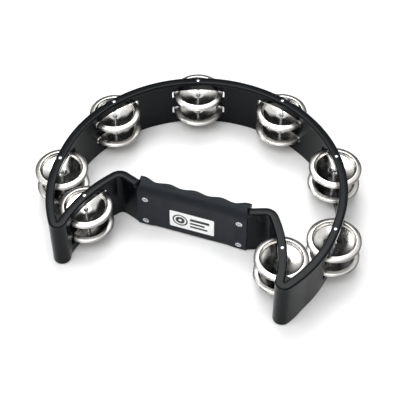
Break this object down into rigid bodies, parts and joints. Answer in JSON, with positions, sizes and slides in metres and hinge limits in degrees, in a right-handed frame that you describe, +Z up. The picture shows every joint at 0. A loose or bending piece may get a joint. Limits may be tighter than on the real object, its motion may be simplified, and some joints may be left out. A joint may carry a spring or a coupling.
{
  "type": "tambourine",
  "caption": "Half-moon hand tambourine: black plastic frame with two rows of slots, nested pairs of steel jingles on pins and a bolted grip with finger grooves.",
  "frame": {"origin": "under the middle of the whole object's box, on the plane that the frame's lower edge rests on", "axes": "+X to the player's right along the grip, +Y from the grip towards the middle of the half round, +Z up through the thickness, from the plain lower edge to the rim with the pin heads"},
  "size_m": [0.2754, 0.2108, 0.0485],
  "materials": {
    "frame": "moulded black ABS, glossy",
    "grip": "moulded dark slate ABS, fine satin texture",
    "screws": "bright nickel-plated steel",
    "pins": "bright drawn steel",
    "jingles": "nickel-plated pressed steel, bright with fine turning marks",
    "label": "printed white label under a satin film"
  },
  "bodies": {
    "body": {"frame": "frame", "grip_front_shell": "grip", "grip_rear_shell": "grip", "grip_screws": "screws", "grip_label": "label", "pin_back_right": "pins", "pin_back_left": "pins", "pin_shoulder_right": "pins", "pin_shoulder_left": "pins", "pin_side_right": "pins", "pin_side_left": "pins", "pin_arm_right": "pins", "pin_arm_left": "pins"},
    "jingle_back_right_low_under": {"jingle_back_right_low_under": "jingles"},
    "jingle_back_right_low_over": {"jingle_back_right_low_over": "jingles"},
    "jingle_back_right_high_under": {"jingle_back_right_high_under": "jingles"},
    "jingle_back_right_high_over": {"jingle_back_right_high_over": "jingles"},
    "jingle_back_left_low_under": {"jingle_back_left_low_under": "jingles"},
    "jingle_back_left_low_over": {"jingle_back_left_low_over": "jingles"},
    "jingle_back_left_high_under": {"jingle_back_left_high_under": "jingles"},
    "jingle_back_left_high_over": {"jingle_back_left_high_over": "jingles"},
    "jingle_shoulder_right_low_under": {"jingle_shoulder_right_low_under": "jingles"},
    "jingle_shoulder_right_low_over": {"jingle_shoulder_right_low_over": "jingles"},
    "jingle_shoulder_right_high_under": {"jingle_shoulder_right_high_under": "jingles"},
    "jingle_shoulder_right_high_over": {"jingle_shoulder_right_high_over": "jingles"},
    "jingle_shoulder_left_low_under": {"jingle_shoulder_left_low_under": "jingles"},
    "jingle_shoulder_left_low_over": {"jingle_shoulder_left_low_over": "jingles"},
    "jingle_shoulder_left_high_under": {"jingle_shoulder_left_high_under": "jingles"},
    "jingle_shoulder_left_high_over": {"jingle_shoulder_left_high_over": "jingles"},
    "jingle_side_right_low_under": {"jingle_side_right_low_under": "jingles"},
    "jingle_side_right_low_over": {"jingle_side_right_low_over": "jingles"},
    "jingle_side_right_high_under": {"jingle_side_right_high_under": "jingles"},
    "jingle_side_right_high_over": {"jingle_side_right_high_over": "jingles"},
    "jingle_side_left_low_under": {"jingle_side_left_low_under": "jingles"},
    "jingle_side_left_low_over": {"jingle_side_left_low_over": "jingles"},
    "jingle_side_left_high_under": {"jingle_side_left_high_under": "jingles"},
    "jingle_side_left_high_over": {"jingle_side_left_high_over": "jingles"},
    "jingle_arm_right_low_under": {"jingle_arm_right_low_under": "jingles"},
    "jingle_arm_right_low_over": {"jingle_arm_right_low_over": "jingles"},
    "jingle_arm_right_high_under": {"jingle_arm_right_high_under": "jingles"},
    "jingle_arm_right_high_over": {"jingle_arm_right_high_over": "jingles"},
    "jingle_arm_left_low_under": {"jingle_arm_left_low_under": "jingles"},
    "jingle_arm_left_low_over": {"jingle_arm_left_low_over": "jingles"},
    "jingle_arm_left_high_under": {"jingle_arm_left_high_under": "jingles"},
    "jingle_arm_left_high_over": {"jingle_arm_left_high_over": "jingles"}
  },
  "joints": [
    {"name": "slide_back_right_low_under", "type": "slide", "parent": "body", "child": "jingle_back_right_low_under", "axis": [0, 0, 1], "range_m": [0, 0.0011]},
    {"name": "slide_back_right_low_over", "type": "slide", "parent": "jingle_back_right_low_under", "child": "jingle_back_right_low_over", "axis": [0, 0, 1], "range_m": [0, 0.0011]},
    {"name": "slide_back_right_high_under", "type": "slide", "parent": "body", "child": "jingle_back_right_high_under", "axis": [0, 0, 1], "range_m": [0, 0.0011]},
    {"name": "slide_back_right_high_over", "type": "slide", "parent": "jingle_back_right_high_under", "child": "jingle_back_right_high_over", "axis": [0, 0, 1], "range_m": [0, 0.0011]},
    {"name": "slide_back_left_low_under", "type": "slide", "parent": "body", "child": "jingle_back_left_low_under", "axis": [0, 0, 1], "range_m": [0, 0.0011]},
    {"name": "slide_back_left_low_over", "type": "slide", "parent": "jingle_back_left_low_under", "child": "jingle_back_left_low_over", "axis": [0, 0, 1], "range_m": [0, 0.0011]},
    {"name": "slide_back_left_high_under", "type": "slide", "parent": "body", "child": "jingle_back_left_high_under", "axis": [0, 0, 1], "range_m": [0, 0.0011]},
    {"name": "slide_back_left_high_over", "type": "slide", "parent": "jingle_back_left_high_under", "child": "jingle_back_left_high_over", "axis": [0, 0, 1], "range_m": [0, 0.0011]},
    {"name": "slide_shoulder_right_low_under", "type": "slide", "parent": "body", "child": "jingle_shoulder_right_low_under", "axis": [0, 0, 1], "range_m": [0, 0.0011]},
    {"name": "slide_shoulder_right_low_over", "type": "slide", "parent": "jingle_shoulder_right_low_under", "child": "jingle_shoulder_right_low_over", "axis": [0, 0, 1], "range_m": [0, 0.0011]},
    {"name": "slide_shoulder_right_high_under", "type": "slide", "parent": "body", "child": "jingle_shoulder_right_high_under", "axis": [0, 0, 1], "range_m": [0, 0.0011]},
    {"name": "slide_shoulder_right_high_over", "type": "slide", "parent": "jingle_shoulder_right_high_under", "child": "jingle_shoulder_right_high_over", "axis": [0, 0, 1], "range_m": [0, 0.0011]},
    {"name": "slide_shoulder_left_low_under", "type": "slide", "parent": "body", "child": "jingle_shoulder_left_low_under", "axis": [0, 0, 1], "range_m": [0, 0.0011]},
    {"name": "slide_shoulder_left_low_over", "type": "slide", "parent": "jingle_shoulder_left_low_under", "child": "jingle_shoulder_left_low_over", "axis": [0, 0, 1], "range_m": [0, 0.0011]},
    {"name": "slide_shoulder_left_high_under", "type": "slide", "parent": "body", "child": "jingle_shoulder_left_high_under", "axis": [0, 0, 1], "range_m": [0, 0.0011]},
    {"name": "slide_shoulder_left_high_over", "type": "slide", "parent": "jingle_shoulder_left_high_under", "child": "jingle_shoulder_left_high_over", "axis": [0, 0, 1], "range_m": [0, 0.0011]},
    {"name": "slide_side_right_low_under", "type": "slide", "parent": "body", "child": "jingle_side_right_low_under", "axis": [0, 0, 1], "range_m": [0, 0.0011]},
    {"name": "slide_side_right_low_over", "type": "slide", "parent": "jingle_side_right_low_under", "child": "jingle_side_right_low_over", "axis": [0, 0, 1], "range_m": [0, 0.0011]},
    {"name": "slide_side_right_high_under", "type": "slide", "parent": "body", "child": "jingle_side_right_high_under", "axis": [0, 0, 1], "range_m": [0, 0.0011]},
    {"name": "slide_side_right_high_over", "type": "slide", "parent": "jingle_side_right_high_under", "child": "jingle_side_right_high_over", "axis": [0, 0, 1], "range_m": [0, 0.0011]},
    {"name": "slide_side_left_low_under", "type": "slide", "parent": "body", "child": "jingle_side_left_low_under", "axis": [0, 0, 1], "range_m": [0, 0.0011]},
    {"name": "slide_side_left_low_over", "type": "slide", "parent": "jingle_side_left_low_under", "child": "jingle_side_left_low_over", "axis": [0, 0, 1], "range_m": [0, 0.0011]},
    {"name": "slide_side_left_high_under", "type": "slide", "parent": "body", "child": "jingle_side_left_high_under", "axis": [0, 0, 1], "range_m": [0, 0.0011]},
    {"name": "slide_side_left_high_over", "type": "slide", "parent": "jingle_side_left_high_under", "child": "jingle_side_left_high_over", "axis": [0, 0, 1], "range_m": [0, 0.0011]},
    {"name": "slide_arm_right_low_under", "type": "slide", "parent": "body", "child": "jingle_arm_right_low_under", "axis": [0, 0, 1], "range_m": [0, 0.0011]},
    {"name": "slide_arm_right_low_over", "type": "slide", "parent": "jingle_arm_right_low_under", "child": "jingle_arm_right_low_over", "axis": [0, 0, 1], "range_m": [0, 0.0011]},
    {"name": "slide_arm_right_high_under", "type": "slide", "parent": "body", "child": "jingle_arm_right_high_under", "axis": [0, 0, 1], "range_m": [0, 0.0011]},
    {"name": "slide_arm_right_high_over", "type": "slide", "parent": "jingle_arm_right_high_under", "child": "jingle_arm_right_high_over", "axis": [0, 0, 1], "range_m": [0, 0.0011]},
    {"name": "slide_arm_left_low_under", "type": "slide", "parent": "body", "child": "jingle_arm_left_low_under", "axis": [0, 0, 1], "range_m": [0, 0.0011]},
    {"name": "slide_arm_left_low_over", "type": "slide", "parent": "jingle_arm_left_low_under", "child": "jingle_arm_left_low_over", "axis": [0, 0, 1], "range_m": [0, 0.0011]},
    {"name": "slide_arm_left_high_under", "type": "slide", "parent": "body", "child": "jingle_arm_left_high_under", "axis": [0, 0, 1], "range_m": [0, 0.0011]},
    {"name": "slide_arm_left_high_over", "type": "slide", "parent": "jingle_arm_left_high_under", "child": "jingle_arm_left_high_over", "axis": [0, 0, 1], "range_m": [0, 0.0011]}
  ]
}
